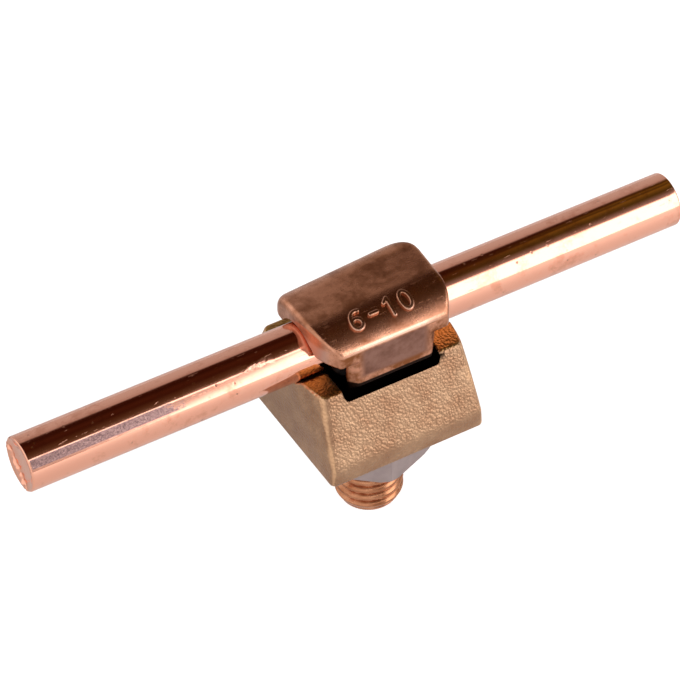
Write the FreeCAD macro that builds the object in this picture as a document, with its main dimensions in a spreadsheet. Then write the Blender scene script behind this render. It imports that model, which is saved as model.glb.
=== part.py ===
import FreeCAD, Part
import math
import os
import re
import Sketcher

# Round conductor connector: a cast block with a seat for a round conductor, and a forged hook bolt
# that presses the conductor into the seat when the hexagon nut under the block is tightened.
# Frame: millimetres, +Z up along the stud, +X along the conductor, origin on the stud axis at the
# underside of the block. The hook's neck is at the front, towards -Y.

Vector = FreeCAD.Vector

os.makedirs("parts", exist_ok=True)
doc = FreeCAD.newDocument("RoundConductorConnector")
sheet = doc.addObject("Spreadsheet::Sheet", "Sizes")

# Driving sizes in millimetres, unless the note says degrees.
SIZES = [
    # conductor
    ("rod_diameter", 8, "round conductor"),
    ("rod_left", 53.5, "rod end left of the stud axis"),
    ("rod_right", 51, "rod end right of the stud axis"),
    ("rod_end_radius", 0.6, "sheared edge of the rod ends"),
    # block
    ("block_offset", 1.5, "block centre and rod axis behind the stud axis"),
    ("base_half_width", 12.35, "block along the conductor"),
    ("base_half_depth", 12.48, "block across the conductor"),
    ("plinth_height", 3, "upright band at the foot"),
    ("block_height", 13.06, "top of the two ridges"),
    ("cheek_inset", 1.2, "ridge ends inside the side walls"),
    ("ridge_half_depth", 8.14, "ridges from the block centre"),
    ("bulge_half_depth", 3, "upright middle of the side walls"),
    ("seat_radius", 5, "round seat for the largest conductor"),
    ("seat_bottom", 11.5, "lowest line of the seat"),
    ("well_side_clearance", 1.1, "well wall to the neck, along the conductor"),
    ("well_front_clearance", 0.2, "well wall to the neck's face, so that the neck can sink into the well"),
    ("well_corner", 0.5, "corner radius of the well"),
    ("well_floor", 5, "floor of the well"),
    ("shank_clearance", 0.5, "radial, hole in the block round the shank"),
    ("casting_radius", 1, "ridges and corners of the casting"),
    ("foot_radius", 0.5, "edge round the underside"),
    # hook bolt
    ("stud_diameter", 10, "metric thread, major diameter"),
    ("stud_end", 16.2, "below the underside of the block"),
    ("stud_bevel_depth", 0.8, "radial, at the stud's end"),
    ("stud_bevel_length", 1.5, "along the stud"),
    ("hook_radius", 5, "inner radius of the hook"),
    ("hook_gap", 0.2, "between the hook's roof and the rod"),
    ("hook_wall", 3.4, "front of the hook, beside the rod"),
    ("back_wall", 2.45, "back of the hook, beside the rod"),
    ("roof_wall", 3.3, "crown over the hook's inner radius"),
    ("lip_rise", 2.7, "underside of the lips over the hook's inner axis"),
    ("head_half_width", 10.7, "hook head along the conductor"),
    ("crease_drop", 3, "crown to the crease of the front face"),
    ("crease_radius", 0.4, "crease between front face and shoulder"),
    ("shoulder_inset", 2.85, "front face to shoulder"),
    ("shoulder_radius", 8.5, "front shoulder, a broad round that runs down to the crease"),
    ("back_shoulder_radius", 4.2, "back shoulder"),
    ("head_corner", 3.5, "upright corners of the head"),
    ("head_edge_radius", 1.5, "upper edge of both ends of the head"),
    ("crown_radius", 120, "barrel of the crown along the conductor"),
    ("neck_half_width", 6.9, "neck along the conductor"),
    ("neck_rise", 0.74, "lower edge of the neck's face over the ridges"),
    ("neck_edge", 1.3, "bevelled upright edges of the neck"),
    ("neck_corner", 1.4, "neck's bevelled lower corners, down to the narrower leg"),
    ("neck_corner_rise", 3, "bevelled lower corners of the neck, upwards"),
    ("leg_step", 0.2, "leg outside the shank, front and back"),
    ("leg_bottom", 8, "leg changes into the round shank"),
    # washer and nut
    ("washer_clearance", 0.3, "radial, washer bore round the shank"),
    ("washer_width", 3.4, "radial width of the spring washer"),
    ("washer_thickness", 1.8, "spring washer pressed flat"),
    ("washer_split", 0.7, "gap of the split"),
    ("nut_across_flats", 16, "hexagon nut"),
    ("nut_thickness", 5, "thin nut"),
    ("nut_clearance", 0.05, "radial, running fit of the nut on the stud"),
    ("nut_face_radius", 7.76, "flat ring inside the corner bevels"),
    ("nut_bevel_angle", 35, "degrees, slope of the corner bevels"),
    ("nut_turned", 20.5, "degrees, one corner of the nut from +X"),
    # cutting tools
    ("overshoot", 2, "how far a cut reaches past the solid"),
]

# Places and sizes that follow from the driving sizes.
DERIVED = {
    "rod_radius": "rod_diameter / 2",
    "rod_axis_up": "seat_bottom + rod_radius",
    "seat_axis_up": "seat_bottom + seat_radius",
    "block_front": "block_offset - base_half_depth",
    "block_back": "block_offset + base_half_depth",
    "ridge_half_width": "base_half_width - cheek_inset",
    "stud_radius": "stud_diameter / 2",
    "hook_axis_up": "seat_bottom + rod_diameter + hook_gap - hook_radius",
    "crown_up": "hook_axis_up + hook_radius + roof_wall",
    "hook_front": "block_offset - hook_radius - hook_wall",
    "head_back": "block_offset + hook_radius + back_wall",
    "head_depth": "head_back - hook_front",
    "lip_up": "hook_axis_up + lip_rise",
    "crease_up": "crown_up - crease_drop",
    "neck_up": "block_height + neck_rise",
    "leg_half_depth": "stud_radius + leg_step",
    "neck_step": "-hook_front - leg_half_depth",
    "well_half_width": "neck_half_width + well_side_clearance",
    "well_half_depth": "block_offset - hook_front + well_front_clearance",
    "cheek_lean": "atan2(base_half_depth - bulge_half_depth; block_height - plinth_height)",
    "washer_bore": "stud_radius + washer_clearance",
    "nut_bottom": "-washer_thickness - nut_thickness",
    "nut_corner": "nut_across_flats / 2 / cos(30)",
}

ALIASES = {alias for alias, _, _ in SIZES}


def fill_sheet():
    """Write every driving size to the spreadsheet, with an alias and a note."""
    for row, (alias, value, note) in enumerate(SIZES, start=1):
        sheet.set(f"A{row}", note)
        sheet.set(f"B{row}", str(value))
        sheet.setAlias(f"B{row}", alias)
    doc.recompute()


def formula(text):
    """Return the expression with its words written as references to the sheet."""
    return re.sub(r"[a-z]\w+", lambda word: spell_out(word.group()), text)


def spell_out(word):
    """Return one word's reference to the sheet, its own formula, or the word itself."""
    if word in DERIVED:
        return f"({formula(DERIVED[word])})"
    return f"Sizes.{word}" if word in ALIASES else word


def value_of(text):
    """Return the number that an expression gives with the present sizes."""
    return float(sheet.evalExpression(formula(text)))


def point_at(across, up):
    """Return the point of a sketch at two expressions."""
    return Vector(value_of(across), value_of(up), 0)


def new_body(name):
    """Add an empty body whose label is the node's name."""
    body = doc.addObject("PartDesign::Body", name)
    body.Label = name
    return body


def new_sketch(body, name, plane, height=None):
    """Add a sketch on an origin plane of the body, moved along its normal where a height is given."""
    planes = {feature.Role: feature for feature in body.Origin.OriginFeatures}
    sketch = body.newObject("Sketcher::SketchObject", name)
    sketch.AttachmentSupport = [(planes[plane], "")]
    sketch.MapMode = "FlatFace"
    if height is not None:
        sketch.setExpression("AttachmentOffset.Base.z", formula(height))
    return sketch


def pin_point(sketch, geometry, position, across, up):
    """Hold one point of a sketch at two expressions from the sketch's origin."""
    for kind, text in (("DistanceX", across), ("DistanceY", up)):
        held = sketch.addConstraint(Sketcher.Constraint(kind, -1, 1, geometry, position, value_of(text)))
        sketch.setExpression(f"Constraints[{held}]", formula(text))


def hold_radius(sketch, geometry, radius):
    """Hold the radius of a circle or arc at an expression."""
    held = sketch.addConstraint(Sketcher.Constraint("Radius", geometry, value_of(radius)))
    sketch.setExpression(f"Constraints[{held}]", formula(radius))


def add_polygon(sketch, corners):
    """Draw a closed polygon whose corners are pairs of expressions."""
    spots = [point_at(*corner) for corner in corners]
    first = sketch.GeometryCount
    count = len(spots)
    for i in range(count):
        sketch.addGeometry(Part.LineSegment(spots[i], spots[(i + 1) % count]), False)
    for i in range(count):
        after = first + (i + 1) % count
        sketch.addConstraint(Sketcher.Constraint("Coincident", first + i, 2, after, 1))
        pin_point(sketch, first + i, 1, *corners[i])


def add_circle(sketch, across, up, radius):
    """Draw a circle with its centre and radius held by expressions."""
    circle = Part.Circle(point_at(across, up), Vector(0, 0, 1), value_of(radius))
    index = sketch.addGeometry(circle, False)
    pin_point(sketch, index, 3, across, up)
    hold_radius(sketch, index, radius)


def add_arc(sketch, across, up, radius, start, sweep):
    """Draw an arc from a start angle through a sweep, in radians; its ends are held by the caller."""
    circle = Part.Circle(point_at(across, up), Vector(0, 0, 1), value_of(radius))
    return sketch.addGeometry(Part.ArcOfCircle(circle, start, start + sweep), False)


def rectangle(left, right, low, high):
    """Return the four corners of an upright rectangle, as pairs of expressions."""
    return [(left, low), (right, low), (right, high), (left, high)]


def add_feature(body, kind, name, sketch, length, symmetric=False):
    """Pad or pocket a sketch by a length, half to each side where it is symmetric."""
    feature = body.newObject(f"PartDesign::{kind}", name)
    feature.Profile = sketch
    feature.setExpression("Length", formula(length))
    if symmetric:
        feature.SideType = "Symmetric"
    sketch.Visibility = False
    doc.recompute()
    return feature


def edges_where(shape, test):
    """Return the names of the edges whose middle point and bounding box pass the test."""
    names = []
    for number, edge in enumerate(shape.Edges, start=1):
        middle = edge.valueAt((edge.FirstParameter + edge.LastParameter) / 2)
        if test(middle, edge.BoundBox):
            names.append(f"Edge{number}")
    return names


def round_edges(body, name, base, radius, test):
    """Fillet the edges of the last feature that pass a test."""
    fillet = body.newObject("PartDesign::Fillet", name)
    fillet.Base = (base, edges_where(base.Shape, test))
    fillet.setExpression("Radius", formula(radius))
    doc.recompute()
    return fillet


def near(a, b, slack=0.02):
    """Tell whether two lengths agree."""
    return abs(a - b) < slack


def add_cheek_cut(body, name, side):
    """Slope both cheeks at the casting's back (side 1) or front (side -1) in towards the ridge ends.

    Each cheek is the plane through the foot's corner, the ridge's end and the upper end of the side
    wall's upright middle. The cut is a prism along the line from the foot's corner to that last point.
    """
    sketch = new_sketch(body, name + "Section", "XY_Plane")
    turn = FreeCAD.Rotation(Vector(1, 0, 0), side)
    sketch.AttachmentOffset = FreeCAD.Placement(Vector(0, 0, 0), turn)
    sketch.setExpression("AttachmentOffset.Base.y", formula("block_offset"))
    sketch.setExpression("AttachmentOffset.Rotation.Angle", formula(f"{side} * cheek_lean"))
    level = "block_height * sin(cheek_lean)"
    start = f"(bulge_half_depth * cos(cheek_lean) + {level})"
    end = f"(ridge_half_depth * cos(cheek_lean) + {level})"
    past_end = f"2 * {end} - {start}"
    outer = "base_half_width + overshoot"
    inner = "base_half_width - 2 * cheek_inset"
    corners = [("base_half_width", start), (inner, past_end), (outer, past_end), (outer, start)]
    for hand in (1, -1):
        add_polygon(sketch, [(f"{hand} * ({across})", f"{side} * ({up})") for across, up in corners])
    return add_feature(body, "Pocket", name, sketch, "4 * base_half_depth", True)


def build_clamp_body():
    """Block: plinth, tapered upper part with cheeks, seat along X, well open to both slopes, shank hole."""
    body = new_body("clamp_body")
    plinth_sketch = new_sketch(body, "PlinthOutline", "XY_Plane")
    add_polygon(plinth_sketch, rectangle("-base_half_width", "base_half_width", "block_front", "block_back"))
    add_feature(body, "Pad", "Plinth", plinth_sketch, "plinth_height")

    upper_sketch = new_sketch(body, "UpperSection", "YZ_Plane")
    foot_line = [("block_front", "plinth_height"), ("block_back", "plinth_height")]
    ridge_line = [
        ("block_offset + ridge_half_depth", "block_height"),
        ("block_offset - ridge_half_depth", "block_height"),
    ]
    add_polygon(upper_sketch, foot_line + ridge_line)
    add_feature(body, "Pad", "Upper", upper_sketch, "2 * base_half_width", True)
    add_cheek_cut(body, "BackCheeks", 1)
    cheeks = add_cheek_cut(body, "FrontCheeks", -1)

    top = value_of("block_height")
    centre = value_of("block_offset")
    ridge = value_of("ridge_half_depth")

    def is_casting_edge(middle, box):
        """Tell whether an edge is a ridge or runs up a corner of the casting."""
        away = abs(middle.y - centre)
        return (near(box.ZMin, top) and near(away, ridge)) or (box.ZLength > 1 and away > ridge)

    round_edges(body, "CastingEdges", cheeks, "casting_radius", is_casting_edge)

    seat_sketch = new_sketch(body, "SeatSection", "YZ_Plane")
    add_circle(seat_sketch, "block_offset", "seat_axis_up", "seat_radius")
    add_feature(body, "Pocket", "Seat", seat_sketch, "2 * (base_half_width + overshoot)", True)

    well_sketch = new_sketch(body, "WellOutline", "XY_Plane", "block_height")
    well_front = "block_offset - well_half_depth"
    well_back = "block_offset + well_half_depth"
    add_polygon(well_sketch, rectangle("-well_half_width", "well_half_width", well_front, well_back))
    well = add_feature(body, "Pocket", "Well", well_sketch, "block_height - well_floor")
    wall_x = value_of("well_half_width")
    wall_y = value_of("well_half_depth")

    def is_well_corner(middle, box):
        """Tell whether an edge runs up a corner of the well."""
        return box.ZLength > 1 and near(abs(middle.x), wall_x) and near(abs(middle.y - centre), wall_y)

    round_edges(body, "WellCorners", well, "well_corner", is_well_corner)

    hole_sketch = new_sketch(body, "ShankHoleOutline", "XY_Plane", "well_floor")
    add_circle(hole_sketch, "0", "0", "stud_radius + shank_clearance")
    hole = add_feature(body, "Pocket", "ShankHole", hole_sketch, "well_floor")
    hole_reach = value_of("stud_radius + shank_clearance") + 1

    def is_foot_edge(middle, box):
        """Tell whether an edge lies on the underside's outer boundary."""
        return near(box.ZMax, 0) and math.hypot(middle.x, middle.y) > hole_reach

    round_edges(body, "FootEdges", hole, "foot_radius", is_foot_edge)
    return body


def add_rounded_outline(sketch, half_width, front, back, radius):
    """Draw a rectangle with four rounded corners, each corner's centre held by expressions."""
    inner_x = f"({half_width} - {radius})"
    low = f"({front} + {radius})"
    high = f"({back} - {radius})"
    centres = [(inner_x, low), (inner_x, high), (f"-{inner_x}", high), (f"-{inner_x}", low)]
    ends = [
        ((inner_x, front), (half_width, low)),
        ((half_width, high), (inner_x, back)),
        ((f"-{inner_x}", back), (f"-{half_width}", high)),
        ((f"-{half_width}", low), (f"-{inner_x}", front)),
    ]
    first = sketch.GeometryCount
    quarter = math.pi / 2
    for turn, centre in enumerate(centres):
        add_arc(sketch, *centre, radius, (turn - 1) * quarter, quarter)
        side = Part.LineSegment(point_at(*ends[turn][1]), point_at(*ends[(turn + 1) % 4][0]))
        sketch.addGeometry(side, False)
    for turn in range(4):
        arc = first + 2 * turn
        following = first + (2 * turn + 2) % 8
        sketch.addConstraint(Sketcher.Constraint("Tangent", arc, 2, arc + 1, 1))
        sketch.addConstraint(Sketcher.Constraint("Tangent", arc + 1, 2, following, 1))
        if turn:
            sketch.addConstraint(Sketcher.Constraint("Equal", first, arc))
    pin_point(sketch, first, 3, *centres[0])
    pin_point(sketch, first + 4, 3, *centres[2])
    hold_radius(sketch, first, radius)


def add_crown_outline(sketch):
    """Draw what lies above the head's front view: a barrel crown between two rounded upper ends."""
    outer = "(head_half_width + overshoot)"
    above = "(crown_up + overshoot)"
    barrel_up = "(crown_up - crown_radius)"
    end_across = "(head_half_width - head_edge_radius)"
    reach = "(crown_radius - head_edge_radius)"
    end_up = f"({barrel_up} + sqrt({reach} ^ 2 - {end_across} ^ 2))"
    lean = math.asin(value_of(end_across) / value_of(reach))
    quarter = math.pi / 2
    add_arc(sketch, end_across, end_up, "head_edge_radius", 0, quarter - lean)
    add_arc(sketch, "0", barrel_up, "crown_radius", quarter - lean, 2 * lean)
    add_arc(sketch, f"-{end_across}", end_up, "head_edge_radius", quarter + lean, quarter - lean)
    path = [
        ("-head_half_width", end_up),
        (f"-{outer}", end_up),
        (f"-{outer}", above),
        (outer, above),
        (outer, end_up),
        ("head_half_width", end_up),
    ]
    for start, finish in zip(path, path[1:]):
        sketch.addGeometry(Part.LineSegment(point_at(*start), point_at(*finish)), False)
    sketch.addConstraint(Sketcher.Constraint("Tangent", 0, 2, 1, 1))
    sketch.addConstraint(Sketcher.Constraint("Tangent", 1, 2, 2, 1))
    last = sketch.GeometryCount - 1
    for i in range(2, last):
        sketch.addConstraint(Sketcher.Constraint("Coincident", i, 2, i + 1, 1))
    sketch.addConstraint(Sketcher.Constraint("Coincident", last, 2, 0, 1))
    for index, spot in enumerate(path[:-1]):
        pin_point(sketch, 3 + index, 1, *spot)
    pin_point(sketch, last, 2, *path[-1])
    pin_point(sketch, 1, 3, "0", barrel_up)
    for arc, radius in ((0, "head_edge_radius"), (1, "crown_radius"), (2, "head_edge_radius")):
        hold_radius(sketch, arc, radius)


def build_hook_bolt():
    """Hook bolt: saddle head over the rod, neck and leg in front of it, threaded shank below."""
    body = new_body("hook_bolt")
    head_sketch = new_sketch(body, "HeadSection", "YZ_Plane")
    head_corners = [
        ("hook_front", "lip_up"),
        ("head_back", "lip_up"),
        ("head_back", "crown_up"),
        ("hook_front + shoulder_inset", "crown_up"),
        ("hook_front", "crease_up"),
    ]
    add_polygon(head_sketch, head_corners)
    head = add_feature(body, "Pad", "Head", head_sketch, "2 * head_half_width", True)
    bends = [
        ("FrontShoulder", "shoulder_radius", head_corners[3]),
        ("BackShoulder", "back_shoulder_radius", head_corners[2]),
        ("Crease", "crease_radius", head_corners[4]),
    ]
    for name, radius, corner in bends:
        spot = point_at(*corner)
        head = round_edges(
            body, name, head, radius,
            lambda middle, box: box.XLength > 1 and near(middle.y, spot.x) and near(middle.z, spot.y),
        )

    corner_sketch = new_sketch(body, "HeadCornerOutline", "XY_Plane", "crown_up + overshoot")
    outer = "(head_half_width + overshoot)"
    around = rectangle(f"-{outer}", outer, "hook_front - overshoot", "head_back + overshoot")
    add_polygon(corner_sketch, around)
    add_rounded_outline(corner_sketch, "head_half_width", "hook_front", "head_back", "head_corner")
    add_feature(body, "Pocket", "HeadCorners", corner_sketch, "crown_up")

    crown_sketch = new_sketch(body, "CrownOutline", "XZ_Plane")
    add_crown_outline(crown_sketch)
    add_feature(body, "Pocket", "BarrelCrown", crown_sketch, "2 * head_depth", True)

    leg_sketch = new_sketch(body, "LegSection", "YZ_Plane")
    leg_corners = [
        ("hook_front", "neck_up"),
        ("-leg_half_depth", "neck_up - neck_step"),
        ("-leg_half_depth", "leg_bottom"),
        ("leg_half_depth", "leg_bottom"),
        ("leg_half_depth", "seat_bottom"),
        ("hook_front + hook_wall", "lip_up + overshoot"),
        ("hook_front", "lip_up + overshoot"),
    ]
    add_polygon(leg_sketch, leg_corners)
    add_feature(body, "Pad", "Leg", leg_sketch, "2 * neck_half_width", True)

    bevel_sketch = new_sketch(body, "NeckCornerSection", "XZ_Plane", "-hook_front + overshoot")
    bevel_corners = [
        ("neck_half_width", "neck_up + neck_corner_rise"),
        ("neck_half_width - neck_corner", "neck_up"),
        ("neck_half_width - neck_corner", "leg_bottom"),
        ("neck_half_width + overshoot", "leg_bottom"),
        ("neck_half_width + overshoot", "neck_up + neck_corner_rise"),
    ]
    for hand in (1, -1):
        add_polygon(bevel_sketch, [(f"{hand} * ({across})", up) for across, up in bevel_corners])
    add_feature(body, "Pocket", "NeckCorners", bevel_sketch, "head_depth + 2 * overshoot")

    edge_sketch = new_sketch(body, "NeckEdgeOutline", "XY_Plane", "lip_up")
    edge_corners = [
        ("neck_half_width - neck_edge", "hook_front"),
        ("neck_half_width", "hook_front + neck_edge"),
        ("neck_half_width + overshoot", "hook_front + neck_edge"),
        ("neck_half_width + overshoot", "hook_front - overshoot"),
        ("neck_half_width - neck_edge", "hook_front - overshoot"),
    ]
    for hand in (1, -1):
        add_polygon(edge_sketch, [(f"{hand} * ({across})", up) for across, up in edge_corners])
    add_feature(body, "Pocket", "NeckEdges", edge_sketch, "lip_up - leg_bottom")

    inside_sketch = new_sketch(body, "InsideSection", "YZ_Plane")
    add_circle(inside_sketch, "block_offset", "hook_axis_up", "hook_radius")
    add_feature(body, "Pocket", "Inside", inside_sketch, "2 * (head_half_width + overshoot)", True)

    shank_sketch = new_sketch(body, "ShankOutline", "XY_Plane", "-stud_end")
    add_circle(shank_sketch, "0", "0", "stud_radius")
    shank = add_feature(body, "Pad", "Shank", shank_sketch, "stud_end + leg_bottom")
    stud_end = -value_of("stud_end")
    bevel = body.newObject("PartDesign::Chamfer", "StudEnd")
    bevel.Base = (shank, edges_where(shank.Shape, lambda middle, box: near(box.ZMax, stud_end)))
    bevel.ChamferType = "Two distances"
    bevel.setExpression("Size", formula("stud_bevel_length"))
    bevel.setExpression("Size2", formula("stud_bevel_depth"))
    doc.recompute()
    return body


def build_round_conductor():
    """Straight round rod with slightly rounded sheared ends."""
    body = new_body("round_conductor")
    section = new_sketch(body, "RodSection", "YZ_Plane", "-rod_left")
    add_circle(section, "block_offset", "rod_axis_up", "rod_radius")
    rod = add_feature(body, "Pad", "Rod", section, "rod_left + rod_right")
    round_edges(body, "RodEnds", rod, "rod_end_radius", lambda middle, box: near(box.XLength, 0))
    return body


def build_spring_washer():
    """Split lock washer under the block, pressed flat, with its slanting split at the back."""
    body = new_body("spring_washer")
    outline = new_sketch(body, "WasherOutline", "XY_Plane", "-washer_thickness")
    add_circle(outline, "0", "0", "washer_bore + washer_width")
    add_circle(outline, "0", "0", "washer_bore")
    add_feature(body, "Pad", "Ring", outline, "washer_thickness")

    split = new_sketch(body, "SplitSection", "XZ_Plane")
    low = "-1.5 * washer_thickness"
    high = "washer_thickness / 2"
    corners = [
        ("-washer_split / 2 - washer_thickness", low),
        ("washer_split / 2 - washer_thickness", low),
        ("washer_split / 2 + washer_thickness", high),
        ("-washer_split / 2 + washer_thickness", high),
    ]
    add_polygon(split, corners)
    add_feature(body, "Pocket", "Split", split, "washer_bore + washer_width + overshoot")
    return body


def build_hex_nut():
    """Thin hexagon nut: hexagon, bore, and corners bevelled by a cone on both faces."""
    body = new_body("hex_nut")
    outline = new_sketch(body, "HexagonOutline", "XY_Plane", "nut_bottom")
    turns = [f"nut_turned + {60 * i}" for i in range(6)]
    add_polygon(outline, [(f"nut_corner * cos({turn})", f"nut_corner * sin({turn})") for turn in turns])
    add_circle(outline, "0", "0", "stud_radius + nut_clearance")
    add_feature(body, "Pad", "Hexagon", outline, "nut_thickness")

    bevel = new_sketch(body, "CornerBevelSection", "XZ_Plane")
    reach = "(nut_corner - nut_face_radius + overshoot / 2)"
    far = f"nut_face_radius + {reach}"
    for face, inward in (("nut_bottom", 1), ("-washer_thickness", -1)):
        slope_end = f"{face} + {inward} * {reach} * tan(nut_bevel_angle)"
        outside = f"{face} - {inward} * overshoot / 2"
        add_polygon(
            bevel, [("nut_face_radius", face), (far, slope_end), (far, outside), ("nut_face_radius", outside)]
        )
    groove = body.newObject("PartDesign::Groove", "CornerBevels")
    groove.Profile = bevel
    groove.ReferenceAxis = (bevel, ["V_Axis"])
    groove.Angle = 360
    bevel.Visibility = False
    doc.recompute()
    return body


def check_and_write(body):
    """Stop on any object in error or any unsound solid, then write the node's file."""
    for feature in [body] + body.Group:
        if {"Invalid", "Error"} & set(feature.State):
            raise RuntimeError(f"{feature.Label} is {feature.State}")
    shape = body.Shape
    if shape.isNull() or not shape.isValid() or len(shape.Solids) != 1:
        raise RuntimeError(f"{body.Label} has no single sound solid")
    shape.exportStep(os.path.join("parts", f"{body.Label}.step"))


fill_sheet()
nodes = [
    build_clamp_body(),
    build_hook_bolt(),
    build_round_conductor(),
    build_spring_washer(),
    build_hex_nut(),
]
doc.recompute()
for node in nodes:
    check_and_write(node)
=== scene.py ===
import logging
import math
from collections.abc import Callable
from dataclasses import dataclass
from enum import Enum
from functools import partial
from typing import NamedTuple

import bmesh
import bpy
import numpy as np
from bpy.types import Material, Node, NodeSocket, NodeTree, Object, World
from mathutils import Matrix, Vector


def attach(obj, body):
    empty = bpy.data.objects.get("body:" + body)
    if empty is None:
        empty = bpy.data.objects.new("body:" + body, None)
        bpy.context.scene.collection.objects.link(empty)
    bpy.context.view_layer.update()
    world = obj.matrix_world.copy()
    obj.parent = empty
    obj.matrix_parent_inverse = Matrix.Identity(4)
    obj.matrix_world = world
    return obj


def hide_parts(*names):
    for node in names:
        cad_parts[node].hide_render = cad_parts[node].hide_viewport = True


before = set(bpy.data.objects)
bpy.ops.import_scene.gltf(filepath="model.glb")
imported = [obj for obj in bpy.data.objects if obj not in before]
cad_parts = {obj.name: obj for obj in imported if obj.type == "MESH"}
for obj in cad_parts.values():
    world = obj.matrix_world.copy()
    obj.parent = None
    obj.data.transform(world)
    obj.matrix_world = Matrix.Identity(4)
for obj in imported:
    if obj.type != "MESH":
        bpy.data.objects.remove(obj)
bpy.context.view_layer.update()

LOG = logging.getLogger("round_conductor_connector")
MM = 0.001
Array = np.ndarray
Field = Callable[[Array, Array, Array], Array]
Pair = tuple[float, float]
Spot = tuple[float, float, float]
Link = Node | NodeSocket
Add = Callable[..., Node]


# Colours and nodes

SMOOTH = {"interpolation_type": "SMOOTHSTEP"}
RGBA = {"data_type": "RGBA"}
TIMES = {"operation": "MULTIPLY"}
TIMES_PLUS = {"operation": "MULTIPLY_ADD"}
LARGER = {"operation": "MAXIMUM"}


def srgb(code: str) -> tuple[float, float, float, float]:
    """Turn an sRGB hex colour into linear values.

    Args:
        code: six hex digits.

    Returns:
        Linear red, green, blue, and an alpha of 1.
    """
    parts = [int(code[i : i + 2], 16) / 255 for i in (0, 2, 4)]
    line = [c / 12.92 if c <= 0.04045 else ((c + 0.055) / 1.055) ** 2.4 for c in parts]
    return (line[0], line[1], line[2], 1.0)


def add_node(
    tree: NodeTree, kind: str, inputs: dict | tuple = (), stops: list | None = None, **settings: str | bool
) -> Node:
    """Add a shader node with its settings and links.

    Args:
        tree: the node tree.
        kind: the node's class name, after "ShaderNode".
        inputs: a value for each socket in order, or by name or number, or the socket or node that feeds
            it, where a node stands for its first output in use.
        stops: for a colour ramp, rising positions from 0 to 1, each with a hex colour.
        settings: attributes of the node.

    Returns:
        The new node.
    """
    node = tree.nodes.new("ShaderNode" + kind)
    for key, value in settings.items():
        setattr(node, key, value)
    named = inputs if isinstance(inputs, dict) else dict(enumerate(inputs))
    for key, value in named.items():
        if isinstance(value, Node):
            value = next(output for output in value.outputs if output.enabled)
        if isinstance(value, NodeSocket):
            tree.links.new(value, node.inputs[key])
        else:
            node.inputs[key].default_value = value
    if stops:
        elements = node.color_ramp.elements
        for element, (spot, code) in zip(elements, (stops[0], stops[-1])):
            element.position, element.color = spot, srgb(code)
        for spot, code in stops[1:-1]:
            elements.new(spot).color = srgb(code)
    return node


def start_nodes(holder: Material | World) -> Add:
    """Empty a material's or a world's nodes and return what adds one to them."""
    holder.use_nodes = True
    holder.node_tree.nodes.clear()
    return partial(add_node, holder.node_tree)


# Meshes from arrays


def mesh_object(name: str, skin: Material, points: Array, faces: Array) -> Object:
    """Make a smooth-shaded object from points in millimetres and quads.

    Args:
        name: the piece's name.
        skin: its material.
        points: (n, 3) places in the row frame, in millimetres.
        faces: (m, 4) point numbers, counter-clockwise from outside.

    Returns:
        The object, at the origin.
    """
    mesh = bpy.data.meshes.new(name)
    mesh.from_pydata((points * MM).tolist(), [], faces.tolist(), shade_flat=False)
    mesh.validate()
    mesh.materials.append(skin)
    thing = bpy.data.objects.new(name, mesh)
    bpy.context.scene.collection.objects.link(thing)
    return thing


def tube_faces(rings: int, around: int) -> Array:
    """Return the quads of a grid of rings, closed round each ring, outward for a counter-clockwise ring.

    Args:
        rings: number of rings, along the axis.
        around: points on each ring.

    Returns:
        (m, 4) point numbers.
    """
    i, j = np.meshgrid(np.arange(rings - 1), np.arange(around), indexing="ij")
    k = (j + 1) % around
    quads = [i * around + j, i * around + k, (i + 1) * around + k, (i + 1) * around + j]
    return np.stack(quads, axis=-1).reshape(-1, 4)


def close_doubles(piece: Object) -> None:
    """Merge points that lie on each other, so that rings that meet are closed, and keep edges crisp."""
    work = bmesh.new()
    work.from_mesh(piece.data)
    bmesh.ops.remove_doubles(work, verts=work.verts, dist=1e-7)
    work.to_mesh(piece.data)
    work.free()
    piece.data.set_sharp_from_angle(angle=math.radians(35))


def surface_of(shape: Field, low: Spot, high: Spot, step: float) -> tuple[Array, Array]:
    """Return the closed surface where a field is zero, by surface nets on a regular grid.

    The field is negative inside the solid. Each grid cell that the surface crosses gets one point, the
    mean of where the cell's edges cross it, and each crossed grid edge joins the four cells around it by
    a quad. Every point then moves twice along the field's gradient onto the exact surface.

    Args:
        shape: the field, in millimetres.
        low: lowest corner of the grid.
        high: highest corner of the grid.
        step: grid spacing.

    Returns:
        Points and quads.
    """
    axes = [np.arange(a, b + step, step) for a, b in zip(low, high)]
    value = shape(*np.meshgrid(*axes, indexing="ij"))
    cells = tuple(n - 1 for n in value.shape)
    total = np.zeros(cells + (3,))
    count = np.zeros(cells)
    crossings = []
    for axis in range(3):
        start, end = np.delete(value, -1, axis), np.delete(value, 0, axis)
        spots = np.argwhere((start < 0) != (end < 0))
        ends = tuple(spots.T)
        where = spots.astype(float)
        where[:, axis] += start[ends] / (start[ends] - end[ends])
        others = [a for a in range(3) if a != axis]
        around = []
        for shift in ((0, 0), (-1, 0), (-1, -1), (0, -1)):
            cell = spots.copy()
            cell[:, others] += shift
            around.append(tuple(cell.T))
            np.add.at(total, around[-1], where)
            np.add.at(count, around[-1], 1)
        crossings.append((axis, around, start[ends] < 0))
    used = count > 0
    number = np.full(cells, -1)
    number[used] = np.arange(used.sum())
    points = total[used] / count[used][:, None] * step + np.array([a[0] for a in axes])
    quads = []
    for axis, around, starts_inside in crossings:
        ring = np.stack([number[cell] for cell in around], axis=1)
        flip = starts_inside == (axis == 1)
        ring[flip] = ring[flip][:, ::-1]
        quads.append(ring)
    return pull_to(shape, points, step), np.concatenate(quads)


def gradient(shape: Field, points: Array, reach: float) -> Array:
    """Return the field's gradient at points, by central differences of the given reach."""
    nudges = reach * np.eye(3)
    slopes = [shape(*(points + nudge).T) - shape(*(points - nudge).T) for nudge in nudges]
    return np.stack(slopes, axis=1) / (2 * reach)


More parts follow.
